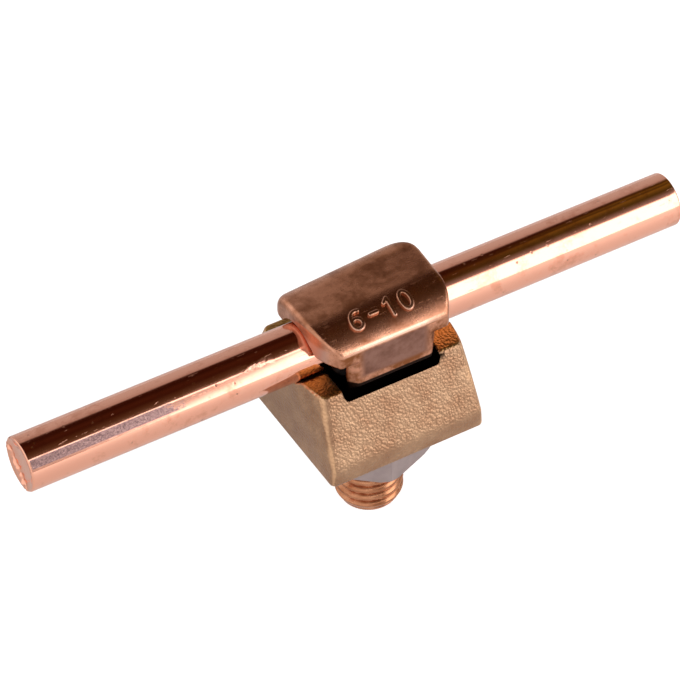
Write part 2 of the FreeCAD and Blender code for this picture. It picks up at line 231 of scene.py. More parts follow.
def pull_to(shape: Field, points: Array, step: float) -> Array:
    """Move points along the gradient onto the field's zero surface, by at most half a grid step."""
    for _ in range(2):
        slope = gradient(shape, points, 0.02)
        steep = np.maximum((slope**2).sum(axis=1), 0.25)
        move = (shape(*points.T) / steep)[:, None] * slope
        reach = np.maximum(np.linalg.norm(move, axis=1, keepdims=True), 1e-9)
        points = points - move * np.minimum(1, 0.5 * step / reach)
    return points


def join_round(a: Array, b: Array, radius: float | Array) -> Array:
    """Union of two fields, with an inside corner of the given radius."""
    both = np.hypot(np.maximum(radius - a, 0), np.maximum(radius - b, 0))
    return np.maximum(radius, np.minimum(a, b)) - both


def meet_round(a: Array, b: Array, radius: float | Array) -> Array:
    """Intersection of two fields, with an outside edge of the given radius."""
    both = np.hypot(np.maximum(radius + a, 0), np.maximum(radius + b, 0))
    return np.minimum(-radius, np.maximum(a, b)) + both


def cut_round(a: Array, b: Array, radius: float) -> Array:
    """First field without the second, with edges of the given radius."""
    return meet_round(a, -b, radius)


# Finishes


class Grain(Enum):
    """How a metal's surface was left by its making."""

    SAND = "sand"
    SCALE = "scale"
    TOOL = "tool"


class Box(NamedTuple):
    """A region of a piece, in millimetres, with a soft edge as a share of its half sizes."""

    centre: Spot
    half: Spot
    soft: float = 0.05

    def mask(self, add: Add, place: Link) -> Node:
        """Mask the box: one where |place - centre| / half is under 1 on all three axes, with a soft edge.

        Args:
            add: adds a node.
            place: Object coordinates.

        Returns:
            The mask's node.
        """
        scale = tuple(1 / (h * MM) for h in self.half)
        shift = tuple(-c / h for c, h in zip(self.centre, self.half))
        scaled = add("Mapping", {"Vector": place, "Location": shift, "Scale": scale})
        x, y, z = add("SeparateXYZ", (add("VectorMath", (scaled,), operation="ABSOLUTE"),)).outputs
        far = add("Math", (add("Math", (x, y), **LARGER), z), **LARGER)
        outer = 1.02
        return add("MapRange", (far, outer, outer - self.soft), **SMOOTH)


class Relief(NamedTuple):
    """A layer of relief: what gives its height, its size in millimetres, whether it is sunk, its strength."""

    height: Link
    size: float
    sunk: bool = False
    strength: Link | float = 1.0


@dataclass(frozen=True)
class Finish:
    """A bare metal. Its colours are sRGB hex values and its sizes are millimetres."""

    name: str

    def begin(self) -> tuple[Material, Add, Link]:
        """Return a new material, what adds a node to it, and the Object coordinates in it."""
        made = bpy.data.materials.new(self.name)
        add = start_nodes(made)
        return made, add, add("TexCoord").outputs["Object"]

    def close(self, add: Add, colour: Link, rough: Link, reliefs: list[Relief]) -> None:
        """Stack the reliefs and feed colour, roughness and normal into a metal shader and the output.

        Args:
            add: adds a node.
            colour: what feeds the base colour.
            rough: what feeds the roughness.
            reliefs: the layers, from the lowest up.
        """
        below = {}
        for layer in reliefs:
            inputs = {"Height": layer.height, "Distance": layer.size * MM, "Strength": layer.strength}
            below = {"Normal": add("Bump", inputs | below, invert=layer.sunk)}
        metal = {"Base Color": colour, "Metallic": 1.0, "Roughness": rough}
        add("OutputMaterial", (add("BsdfPrincipled", metal | below),))


@dataclass(frozen=True)
class DrawnCopper(Finish):
    """Copper rod as the drawing die left it.

    The die leaves a mirror with hair-fine lines along the rod, so what it reflects has straight edges that
    fray a little. Handling adds small pits, dull flecks and a thin uneven tarnish.
    """

    name: str = "drawn_copper"
    axis: Pair = (1.5, 15.5)
    bright: str = "f6b49a"
    tarnish: str = "e6a186"
    cut: str = "f8b498"
    cut_before: float = -53.0
    pit: str = "6a4238"
    streak: tuple[str, str] = ("7a5c5c", "b8948e")
    streak_angles: Pair = (28.5, 47.6)
    streak_edge: float = 1.2
    streak_ends: Pair = (-26.0, -36.0)
    streak_beyond: float = 3.75
    fray_mm: float = 0.6
    speck_mm: float = 0.22
    line_mm: float = 0.22
    line_relief: float = 0.0028
    hair_mm: float = 0.14
    hair_relief: float = 0.008
    wave_mm: float = 2.2
    wave_relief: float = 0.004
    patch_mm: float = 3.5
    pit_mm: float = 1.5
    pit_relief: float = 0.03
    nick: Box = Box((-18.6, -0.75, 18.8), (3.0, 0.7, 0.7), 0.9)
    nick_mm: float = 0.5
    nick_relief: float = 0.08
    rough: Pair = (0.06, 0.15)
    rough_pit: float = 0.3
    rough_streak: float = 0.14

    def rub_mark(self, add: Add, place: Link) -> Node:
        """Mask the dull streak along the rod's upper front, left of the clamp, where it lay against others.

        The streak runs between two angles round the rod's axis and frays out between two places along it.

        Args:
            add: adds a node.
            place: Object coordinates.

        Returns:
            The mask's node.
        """
        across, up = self.axis
        shift = (0, across * MM, -up * MM)
        centred = add("Mapping", {"Vector": place, "Location": shift, "Scale": (1, -1, 1)})
        x, y, z = add("SeparateXYZ", (centred,)).outputs
        angle = add("Math", (z, y), operation="ARCTAN2")
        flat = add("Mapping", {"Vector": centred, "Scale": (0, 1, 1)})
        reach = add("VectorMath", (flat,), operation="LENGTH")
        side = add("Math", (reach, self.streak_beyond * MM), operation="GREATER_THAN")
        low, high = (math.radians(degrees) for degrees in self.streak_angles)
        soft = math.radians(self.streak_edge)
        start, end = (spot * MM for spot in self.streak_ends)
        limits = [(angle, low - soft, low + soft), (angle, high + soft, high - soft), (x, start, end)]
        above, below, along = (add("MapRange", limit, **SMOOTH) for limit in limits)
        band = add("Math", (add("Math", (above, below), **TIMES), side), **TIMES)
        long = add("Mapping", {"Vector": place, "Scale": (0.45, 1, 1)})
        size = 1 / (self.fray_mm * MM)
        fray = add("TexNoise", {"Vector": long, "Scale": size, "Detail": 6.0, "Roughness": 0.75})
        ragged = add("Math", (along, 0.52, fray), **TIMES_PLUS)
        frayed = add("MapRange", (ragged, 0.72, 0.86), **SMOOTH)
        return add("Math", (band, frayed), **TIMES)

    def build(self) -> Material:
        """Build the material: noise stretched along X for the lines, cells for the pits."""
        made, add, place = self.begin()
        stretches = (0.02, 0.16, 0.06)
        along, slow, scored = (add("Mapping", {"Vector": place, "Scale": (s, 1, 1)}) for s in stretches)
        crossed = add("Mapping", {"Vector": place, "Rotation": (0, 0.5, 0.5), "Scale": (0.5, 1, 1)})
        lines, waves, hairs, knocks, patch, speck = (
            add("TexNoise", {"Vector": spot, "Scale": 1 / (size * MM), "Detail": detail, "Roughness": rough})
            for spot, size, detail, rough in (
                (along, self.line_mm, 3.0, 0.5),
                (slow, self.wave_mm, 2.0, 0.5),
                (scored, self.hair_mm, 2.0, 0.5),
                (crossed, self.nick_mm, 3.0, 0.5),
                (place, self.patch_mm, 8.0, 0.72),
                (place, self.speck_mm, 3.0, 0.7),
            )
        )
        cells = add("TexVoronoi", {"Vector": place, "Scale": 1 / (self.pit_mm * MM)})
        limits = ((cells, 0.17, 0.07), (patch, 0.50, 0.66), (hairs, 0.69, 0.77))
        pit, worn, score = (add("MapRange", limit, **SMOOTH) for limit in limits)
        pitted = add("Math", (pit, worn), **TIMES)
        streak = self.rub_mark(add, place)
        speckle = add("ValToRGB", (speck,), [(0.36, self.streak[0]), (0.66, self.streak[1])])
        x, _, _ = add("SeparateXYZ", (place,)).outputs
        fresh = add("Math", (x, self.cut_before * MM), operation="LESS_THAN")
        colour = srgb(self.bright)
        coats = [(worn, srgb(self.tarnish)), (streak, speckle), (fresh, srgb(self.cut))]
        for mask, coat in coats + [(pitted, srgb(self.pit))]:
            colour = add("Mix", {0: mask, 6: colour, 7: coat}, **RGBA)
        rough = add("MapRange", (patch, 0.35, 0.7, *self.rough))
        for mask, extra in ((pitted, self.rough_pit), (streak, self.rough_streak)):
            rough = add("Math", (mask, extra, rough), **TIMES_PLUS)
        nick = add("Math", (self.nick.mask(add, place), knocks), **TIMES)
        reliefs = [Relief(lines, self.line_relief), Relief(score, self.hair_relief, sunk=True)]
        reliefs += [Relief(nick, self.nick_relief), Relief(waves, self.wave_relief)]
        self.close(add, colour, rough, reliefs + [Relief(pitted, self.pit_relief, sunk=True)])
        return made


@dataclass(frozen=True)
class ForgedCopper(Finish):
    """Copper forged in a die, then barrel-finished and handled.

    A satin metal with a brown patina in patches, a fine grain that softens what it reflects, and thin
    bright scratches. The crown is painted darker and browner towards its top. A pale band along the front
    crease is a painted highlight, and the left end is painted paler and left matt, a painted reflection of
    the pale floor in place of the rod's orange one. The leg and the underside in the block's well are
    painted near black as painted shade. The neck, which the barrel hardly reached, is duller and greyer.
    """

    name: str = "forged_copper"
    bright: str = "dc9e80"
    patina: str = "a3684a"
    # The crown is painted darker and browner towards its top, above about 21.4 mm.
    crown_tones: tuple[str, str] = ("b87b59", "85502f")
    crown_tones_above: Pair = (21.4, 22.5)
    crown_tones_most: float = 0.75
    # Painted highlight: a pale colour along the front crease, standing for the soft box caught on that edge.
    crease_highlight: str = "f6c8ae"
    # Painted reflection: the left end is painted paler, standing for the pale floor it reflects, in place of
    # the rod's orange reflection.
    end_reflection: str = "cfa290"
    dull: str = "9e7465"
    dull_dark: str = "764e3f"
    stained: str = "8f5632"
    # Painted shade: near black on the leg and under the saddle, down in the block's well where no light
    # reaches.
    painted_shade: str = "24140d"
    crease: Box = Box((0, -6.9, 19.95), (8.8, 0.5, 0.4), 0.6)
    end: Box = Box((-10.2, -1.0, 17.6), (1.9, 4.6, 2.8), 0.3)
    neck: Box = Box((0, -6.4, 13.9), (8.6, 1.6, 5.6))
    face: Box = Box((0.1, -7.0, 17.5), (5.8, 1.6, 3.1), 0.25)
    leg: Box = Box((0, 0, 12.5), (8.5, 5.2, 5.4))
    under: Box = Box((0, -1.0, 9.8), (9.0, 7.0, 3.95))
    grain_mm: float = 0.22
    grain_relief: float = 0.013
    dent_mm: float = 1.8
    dent_relief: float = 0.016
    scratch_mm: float = 0.12
    scratch_relief: float = 0.008
    scratch_turns: Pair = (0.35, -0.9)
    patch_mm: float = 3.0
    rough: Pair = (0.22, 0.34)
    dull_rough: float = 0.42

    def build(self) -> Material:
        """Build the material: patina patches, grain, shallow dents, two sets of scratches, a dull neck."""
        made, add, place = self.begin()
        noises = ((self.patch_mm, 8.0, 0.65), (self.grain_mm, 2.0, 0.5), (self.dent_mm, 1.0, 0.5))
        patch, grain, dents = (
            add("TexNoise", {"Vector": place, "Scale": 1 / (size * MM), "Detail": detail, "Roughness": rough})
            for size, detail, rough in noises
        )
        tone, crown_colour, mottle, smudge = (
            add("ValToRGB", (patch,), stops)
            for stops in (
                [(0.36, self.bright), (0.66, self.patina)],
                [(0.42, self.crown_tones[0]), (0.60, self.crown_tones[1])],
                [(0.42, self.stained), (0.60, self.bright)],
                [(0.38, self.dull), (0.68, self.dull_dark)],
            )
        )
        _, _, z = add("SeparateXYZ", (place,)).outputs
        low, high = self.crown_tones_above
        crown = add("MapRange", (z, low * MM, high * MM, 0.0, self.crown_tones_most), **SMOOTH)
        boxes = (self.crease, self.end, self.neck, self.face, self.leg, self.under)
        crease, end, neck, face, leg, under = (box.mask(add, place) for box in boxes)
        # Painted shade: the leg and the underside are painted near black.
        deep = add("Math", (leg, under), **LARGER)
        lower = add("Mix", {0: face, 6: mottle, 7: smudge}, **RGBA)
        # The crown is painted darker, the crease gets a painted highlight and the left end a painted
        # reflection.
        coats = [(crown, crown_colour), (crease, srgb(self.crease_highlight)), (end, srgb(self.end_reflection))]
        for mask, coat in coats + [(neck, lower), (deep, srgb(self.painted_shade))]:
            tone = add("Mix", {0: mask, 6: tone, 7: coat}, **RGBA)
        scratches = []
        for turn in self.scratch_turns:
            line = add("Mapping", {"Vector": place, "Rotation": (0, 0, turn), "Scale": (0.05, 1, 0.3)})
            hairs = add("TexNoise", {"Vector": line, "Scale": 1 / (self.scratch_mm * MM), "Detail": 1.0})
            scratches.append(add("MapRange", (hairs, 0.70, 0.78), **SMOOTH))
        scratch = add("Math", tuple(scratches), **LARGER)
        matt = add("Math", (neck, end), **LARGER)
        satin = add("MapRange", (patch, 0.3, 0.7, *self.rough))
        rough = add("Mix", {0: matt, 2: satin, 3: self.dull_rough})
        reliefs = [Relief(grain, self.grain_relief), Relief(dents, self.dent_relief)]
        self.close(add, tone, rough, reliefs + [Relief(scratch, self.scratch_relief, sunk=True)])
        return made


@dataclass(frozen=True)
class GranularMetal(Finish):
    """Bare metal with a granular skin: sand-cast bronze, tumbled steel, or a turned thread.

    Sand leaves round pebbles side by side that each catch a point of light; tumbling leaves a fine even
    grain; a tool leaves faint rings.
    """

    light: str = "cccccc"
    dark: str = "aaaaaa"
    grain: Grain = Grain.SCALE
    grain_mm: float = 0.4
    relief: float = 0.01
    patch_mm: float = 4.0
    rough: Pair = (0.4, 0.5)
    # Painted shade and reflection: the top is painted a darker yellow, standing for the shade of the rod and
    # head and for the rod's copper reflected in it. Its relief is also flattened.
    top: str = ""
    top_above: Pair = (12.82, 13.07)
    top_flattened: float = 0.3
    # Painted highlight colour for edges that face sideways, where they catch the light.
    edge: str = ""
    # Painted shade colour for the inside of the well, which lies in shadow.
    painted_shade: str = ""
    well: Box = Box((0, 1.5, 6.5), (8.15, 8.55, 6.3))

    def edge_highlight_mask(self, add: Add, patch: Link) -> Node:
        """Mask edges that face between X and the rest, for a painted highlight: X² times (1 - X²) of the
        normal, made patchy.

        Args:
            add: adds a node.
            patch: the noise that breaks the edge up.

        Returns:
            The mask's node.
        """
        x, _, _ = add("SeparateXYZ", (add("NewGeometry").outputs["Normal"],)).outputs
        share = add("Math", (x, x), **TIMES)
        rest = add("Math", (1.0, share), operation="SUBTRACT")
        both = add("Math", (share, rest), **TIMES)
        patchy = add("Math", (patch, 0.6, both), **TIMES_PLUS)
        return add("MapRange", (patchy, 0.36, 0.56), **SMOOTH)

    def build(self) -> Material:
        """Build the material: two-tone patches, and a relief by the kind of grain."""
        made, add, place = self.begin()
        patch, grit = (
            add("TexNoise", {"Vector": place, "Scale": 1 / (size * MM), "Detail": detail, "Roughness": 0.6})
            for size, detail in ((self.patch_mm, 8.0), (self.grain_mm / 2, 3.0))
        )
        grains = {"Vector": place, "Scale": 1 / (self.grain_mm * MM)}
        if self.grain is Grain.SAND:
            marks = add("TexVoronoi", grains | {"Smoothness": 0.35}, feature="SMOOTH_F1")
        elif self.grain is Grain.TOOL:
            rings = add("Mapping", {"Vector": place, "Scale": (0.1, 0.1, 1)})
            marks = add("TexNoise", grains | {"Vector": rings, "Detail": 2.0})
        else:
            marks = add("TexNoise", grains | {"Detail": 2.0})
        colour = add("ValToRGB", (patch,), [(0.35, self.dark), (0.65, self.light)])
        coats, strength = [], 1.0
        # The top gets a painted shade and reflection colour, and edges facing sideways a painted highlight.
        if self.top:
            _, _, z = add("SeparateXYZ", (place,)).outputs
            low, high = self.top_above
            above = add("MapRange", (z, low * MM, high * MM), **SMOOTH)
            coats += [(above, self.top), (self.edge_highlight_mask(add, patch), self.edge)]
            strength = add("Math", (above, -self.top_flattened, 1.0), **TIMES_PLUS)
        # Painted shade: the inside of the well is painted dark.
        if self.painted_shade:
            coats += [(self.well.mask(add, place), self.painted_shade)]
        for mask, coat in coats:
            colour = add("Mix", {0: mask, 6: colour, 7: srgb(coat)}, **RGBA)
        rough = add("MapRange", (patch, 0.3, 0.7, *self.rough))
        skin = Relief(marks, self.relief, self.grain is Grain.SAND, strength)
        self.close(add, colour, rough, [Relief(grit, 0.3 * self.relief), skin])
        return made


# Sand-cast bronze: a dull tan metal whose pebbled skin glitters, paler along edges that face sideways as a
# painted highlight.
# The top is smoother and painted a darker yellow as painted shade and the rod's painted reflection, and the
# well is painted dark as painted shade.
CAST_BRONZE = GranularMetal(
    "cast_bronze", "bc9677", "a67d60", Grain.SAND, 0.38, 0.1, 3.0, (0.28, 0.40), "b0844a", edge="dcae86",
    painted_shade="20150d",
)
# Spring steel, tumbled: dull grey.
SPRING_STEEL = GranularMetal("spring_steel", "a8a2a2", "8e8889", Grain.SCALE, 0.4, 0.02, 3.0, (0.40, 0.50))
# Zinc-plated steel, left matt by the bath: a pale grey with a hint of violet.
ZINC_PLATE = GranularMetal("zinc_plate", "bbaaa8", "aa9a98", Grain.SCALE, 0.35, 0.02, 3.0, (0.50, 0.60))
# Copper thread, turned: bright flanks with faint tool rings.
TURNED_COPPER = GranularMetal("turned_copper", "cc906c", "a86a48", Grain.TOOL, 0.15, 0.006, 1.5, (0.20, 0.30))
# Drawn copper: a mirror with fine lines along the rod.
DRAWN_COPPER = DrawnCopper()
# Forged copper: satin, browned in patches.
FORGED_COPPER = ForgedCopper()
# The raised figures of the forging, rubbed bright by handling.
RUBBED_COPPER = ForgedCopper("rubbed_copper", "f4c8b2", "dca88e", rough=(0.22, 0.30))


# Pieces


@dataclass
class CastBlock:
    """Square cast block: sloped front and back, cheeks, round seat along X, well open to both slopes."""

    centre: float = 1.5
    half_width: float = 12.35
    half_depth: float = 12.48
    plinth: float = 3.0
    height: float = 13.06
    ridge_half_width: float = 11.15
    ridge_half_depth: float = 8.14
    ridge_back_depth: float = 8.85
    bulge_half_depth: float = 3.0
    edge_radius: float = 0.9
    top_radius: float = 0.4
    plinth_radius: float = 0.3
    cheek_radius: float = 0.9
    foot_radius: float = 0.5
    cut_radius: float = 0.25
    seat_radius: float = 5.0
    seat_bottom: float = 11.5
    well_half_width: Pair = (8.0, 7.4)
    well_back_half_width: float = 6.8
    well_half_depth: float = 8.6
    well_corner: float = 0.5
    well_floor: float = 5.0
    well_floor_radius: float = 0.4
    hole_radius: float = 5.5
    hole_edge: float = 0.2
    step: float = 0.25

    def field(self, x: Array, y: Array, z: Array) -> Array:
        """Return the block's field: planes met with rounded edges, less seat, well and hole."""
        wide = np.abs(x)
        deep = np.abs(y - self.centre)
        rise = self.height - self.plinth
        run = np.where(y < self.centre, self.ridge_half_depth, self.ridge_back_depth) - self.half_depth
        slope = ((deep - self.half_depth) * rise - (z - self.plinth) * run) / np.hypot(rise, run)
        foot = np.array([self.half_width, self.half_depth, self.plinth])
        shoulder = np.array([self.half_width, self.bulge_half_depth, self.height])
        tip = np.array([self.ridge_half_width, self.ridge_half_depth, self.height])
        facing = np.cross(shoulder - foot, tip - foot)
        facing = facing * np.sign(facing[0]) / np.linalg.norm(facing)
        cheek = (wide - foot[0]) * facing[0] + (deep - foot[1]) * facing[1] + (z - foot[2]) * facing[2]
        side = meet_round(wide - self.half_width, cheek, self.cheek_radius)
        front = meet_round(deep - self.half_depth, slope, self.plinth_radius)
        body = meet_round(side, front, self.edge_radius)
        body = meet_round(body, z - self.height, self.top_radius)
        body = meet_round(body, -z, self.foot_radius)
        seat = np.hypot(y - self.centre, z - self.seat_bottom - self.seat_radius) - self.seat_radius
        well_front = np.where(x < 0, *self.well_half_width)
        well_width = np.where(y < self.centre, well_front, self.well_back_half_width)
        well = meet_round(wide - well_width, deep - self.well_half_depth, self.well_corner)
        well = meet_round(well, self.well_floor - z, self.well_floor_radius)
        hole = np.hypot(x, y) - self.hole_radius
        body = cut_round(body, seat, self.cut_radius)
        body = cut_round(body, well, self.cut_radius)
        return cut_round(body, hole, self.hole_edge)

    def build(self) -> Object:
        """Build the block and its cast finish."""
        margin = 0.6
        low = (-self.half_width - margin, self.centre - self.half_depth - margin, -margin)
        high = (self.half_width + margin, self.centre + self.half_depth + margin, self.height + margin)
        piece = mesh_object("cast_block", CAST_BRONZE.build(), *surface_of(self.field, low, high, self.step))
        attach(piece, "clamp")
        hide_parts("clamp_body")
        return piece


@dataclass
class HookBolt:
    """Forged hook: saddle head over the conductor, neck and leg in front of it, threaded stud below.

    A pair of sizes is for the left and the right side, where they differ.
    """

    rod_across: float = 1.5
    front: float = -6.9
    back: float = 8.95
    crown: float = 22.72
    lean: float = 0.086
    sink: float = 0.45
    crease: float = 20.0
    crease_radius: float = 0.4
    shoulder_radius: float = 9.0
    back_radius: float = 4.2
    lip: float = 17.4
    lip_radius: float = 0.6
    front_half_width: Pair = (10.62, 10.3)
    back_half_width: Pair = (10.42, 10.75)
    end_bend: Pair = (10.0, 8.5)
    end_bend_at: Pair = (-0.6, -1.9)
    back_corner: Pair = (2.5, 5.2)
    back_from: float = 1.0
    end_radius_front: float = 0.35
    end_radius_back: float = 1.0
    end_radius_from: float = -5.5
    end_radius_over: float = 6.0
    inside_radius: float = 5.0
    inside_up: float = 14.7
    inside_edge: float = 0.5
    neck_half_width: Pair = (6.9, 7.3)
    neck_low: float = 13.15
    neck_back: float = -1.0
    neck_top: float = 19.4
    neck_taper: Pair = (0.7, 1.4)
    neck_taper_from: float = -5.5
    neck_radius: float = 0.4
    neck_fillet: float = 0.6
    neck_edge: float = 1.3
    neck_corner: Pair = (0.1, 1.15)
    neck_corner_rise: Pair = (1.0, 3.3)
    neck_corner_radius: float = 0.25
    leg_half_depth: float = 5.2
    leg_low: float = 8.0
    stud_radius: float = 5.0
    stud_low: float = -16.2
    stud_bevel: Pair = (0.8, 1.5)
    pitch: float = 1.5
    thread_depth: float = 0.75
    thread_top: float = 1.5
    numeral_foot: float = 29.0
    numeral_stroke: float = 0.33
    numeral_height: float = 0.46
    numeral_radius: float = 0.24
    numeral_root: float = 0.25
    numeral_step: float = 0.07
    step: float = 0.2

    def shoulder_start(self) -> float:
        """Return where the front shoulder's arc leaves the crown: tangent there, and through the crease."""
        drop = self.crown - self.crease
        return self.front + math.sqrt(2 * self.shoulder_radius * drop - drop * drop)

    def untwisted(self, x: Array, y: Array, z: Array) -> tuple[Array, Array]:
        """Return the share of the way from the crease to the back, and z with the forging's twist undone.

        The crown runs down towards -X, by a share that grows from nothing at the crease to the whole at
        the back.
        """
        share = np.clip((y - self.front) / (self.back - self.front), 0, 1)
        return share, z - share * (self.lean * x - self.sink)

    def head_field(self, x: Array, y: Array, z: Array) -> Array:
        """Return the saddle's field: its side profile met with its plan, whose ends are arcs."""
        share, up = self.untwisted(x, y, z)
        start = self.shoulder_start()
        arc = np.hypot(np.minimum(y - start, 0), np.maximum(up - self.crown + self.shoulder_radius, 0))
        side = meet_round(self.front - y, arc - self.shoulder_radius, self.crease_radius)
        side = meet_round(side, y - self.back, self.back_radius)
        wide, left = np.abs(x), x < 0
        near, far = np.where(left, *self.front_half_width), np.where(left, *self.back_half_width)
        half_width = near + (far - near) * share
        bend, bend_at = np.where(left, *self.end_bend), np.where(left, *self.end_bend_at)
        front_end = np.hypot(np.maximum(wide - half_width + bend, 0), np.minimum(y - bend_at, 0)) - bend
        corner = np.where(left, *self.back_corner)
        across, along = wide - half_width + corner, y - self.back + corner
        back_end = np.hypot(np.maximum(across, 0), np.maximum(along, 0))
        back_end = back_end + np.minimum(np.maximum(across, along), 0)
        behind = y > self.back_from
        plan = np.where(behind, back_end - corner, front_end)
        soft = np.clip((y - self.end_radius_from) / self.end_radius_over, 0, 1)
        soft = soft * soft * (3 - 2 * soft)
        radius = self.end_radius_front + (self.end_radius_back - self.end_radius_front) * soft
        straight = np.where(behind, np.clip(across, 0, 1), 1)
        head = meet_round(side, plan, 0.01 + radius * straight)
        return meet_round(head, self.lip - z, self.lip_radius)

    def leg_field(self, x: Array, y: Array, z: Array) -> Array:
        """Return the field of the neck in front of the conductor and of the leg under it."""
        share, most = self.neck_taper
        taper = np.minimum(share * np.maximum(y - self.neck_taper_from, 0), most)
        over = np.abs(x) - np.where(x < 0, *self.neck_half_width)
        neck = np.maximum(self.front - y, (self.front + self.neck_low - y - z) / math.sqrt(2))
        neck = np.maximum(neck, np.maximum(y - self.neck_back, z - self.neck_top))
        leg = np.maximum(np.abs(y) - self.leg_half_depth, np.maximum(self.leg_low - z, z - self.lip))
        profile = np.minimum(neck, leg)
        both = meet_round(profile, over + taper, self.neck_radius)
        edge = (over - y + self.front + self.neck_edge) / math.sqrt(2)
        run, rise = np.where(x < 0, *self.neck_corner), np.where(x < 0, *self.neck_corner_rise)
        corner = (over * rise - (z - self.neck_low - rise) * run) / np.hypot(run, rise)
        return meet_round(both, np.maximum(edge, corner), self.neck_corner_radius)

    def field(self, x: Array, y: Array, z: Array) -> Array:
        """Return the hook's field: rounded saddle, neck and leg, less the round inside."""
        fillet = 0.02 + self.neck_fillet * np.clip((y - self.front - 0.4) / 0.8, 0, 1)
        body = join_round(self.head_field(x, y, z), self.leg_field(x, y, z), fillet)
        inside = np.hypot(y - self.rod_across, z - self.inside_up) - self.inside_radius
        return cut_round(body, inside, self.inside_edge)

    def build_head(self) -> Object:
        """Build the saddle, neck and leg as one forging."""
        margin = 0.5
        wide = max(self.back_half_width) + margin
        low = (-wide, self.front - margin, self.leg_low - margin)
        high = (wide, self.back + margin, self.crown + 2 * margin)
        surface = surface_of(self.field, low, high, self.step)
        return mesh_object("hook_forging", FORGED_COPPER.build(), *surface)

    def glyphs(self) -> list[Array]:
        """Return the raised numerals' centre lines, each a row of (u, v) points in millimetres.

        The digits are arcs and straight strokes in a cell 1.6 wide and 3 high, spaced along u.
        """
        bowl, hook = np.radians(np.linspace(0, 360, 19)), np.radians(np.linspace(72, 180, 9))
        ring = np.radians(np.linspace(0, 360, 21))
        six_bowl = np.stack([0.78 * np.cos(bowl), 0.88 + 0.80 * np.sin(bowl)], axis=1)
        six_hook = np.stack([0.55 + 1.33 * np.cos(hook), 1.0 + 1.85 * np.sin(hook)], axis=1)
        dash = np.array([[-0.55, 1.45], [0.55, 1.45]])
        one = np.array([[-0.55, 2.2], [0.1, 2.8], [0.1, 0.1]])
        nought = np.stack([0.76 * np.cos(ring), 1.45 + 1.35 * np.sin(ring)], axis=1)
        places = [(six_bowl, -4.2), (six_hook, -4.2), (dash, -1.4), (one, 1.2), (nought, 3.7)]
        return [line + np.array([spot, 0.0]) for line, spot in places]

    def numeral_field(self, x: Array, y: Array, z: Array) -> Array:
        """Return the numerals' field: strokes drawn on the shoulder, a little proud of it.

        u is x and v the way up the shoulder's arc, so the distance to a stroke is that to a segment in the
        (u, v) plane, less half the stroke's width.
        """
        _, up = self.untwisted(x, y, z)
        start = self.shoulder_start()
        turn = np.arctan2(start - y, up - self.crown + self.shoulder_radius)
        v = (math.radians(self.numeral_foot) - turn) * self.shoulder_radius
        nearest = np.full(x.shape, np.inf)
        for line in self.glyphs():
            for (u0, v0), (u1, v1) in zip(line[:-1], line[1:]):
                du, dv = u1 - u0, v1 - v0
                along = np.clip(((x - u0) * du + (v - v0) * dv) / (du * du + dv * dv), 0, 1)
                nearest = np.minimum(nearest, np.hypot(x - u0 - along * du, v - v0 - along * dv))
        skin = np.hypot(y - start, up - self.crown + self.shoulder_radius) - self.shoulder_radius
        raised = meet_round(nearest - self.numeral_stroke, skin - self.numeral_height, self.numeral_radius)
        return np.maximum(raised, -skin - self.numeral_root)

    def build_numerals(self) -> Object:
        """Build the raised numerals on the shoulder, plain figures of a clamping range."""
        low, high = (-5.6, -5.2, 20.4), (5.1, -0.4, 23.4)
        surface = surface_of(self.numeral_field, low, high, self.numeral_step)
        return mesh_object("raised_numerals", RUBBED_COPPER.build(), *surface)

    def build_stud(self) -> Object:
        """Build the threaded stud.

        The surface is a grid of angle and height. Its radius is that of a rolled thread, with broad round
        crests: the depth times the square of a triangle wave of the height less one pitch a turn, under a
        bevel at the end.

        Returns:
            The object.
        """
        around, rows = 96, 16
        up = np.arange(self.stud_low, self.leg_low + 0.6, self.pitch / rows)
        turn = np.linspace(0, 2 * np.pi, around, endpoint=False)
        high, angle = np.meshgrid(up, turn, indexing="ij")
        phase = (high / self.pitch - angle / (2 * np.pi)) % 1.0
        wave = np.abs(phase - 0.5) * 2
        fade = np.clip((self.thread_top - high) / self.pitch, 0, 1)
        width, height = self.stud_bevel
        bevel = self.stud_radius - width + (high - self.stud_low) * width / height
        radius = np.minimum(self.stud_radius - wave**2 * self.thread_depth * fade, bevel)
        ring = np.stack([radius * np.cos(angle), radius * np.sin(angle), high], axis=-1)
        points = np.concatenate([ring[:1] * (0, 0, 1), ring, ring[-1:] * (0, 0, 1)]).reshape(-1, 3)
        return mesh_object("threaded_stud", TURNED_COPPER.build(), points, tube_faces(len(up) + 2, around))

    def build(self) -> list[Object]:
        """Build every piece of the hook bolt."""
        pieces = [self.build_head(), self.build_numerals(), self.build_stud()]
        for piece in pieces:
            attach(piece, "hook")
            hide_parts("hook_bolt")
        return pieces


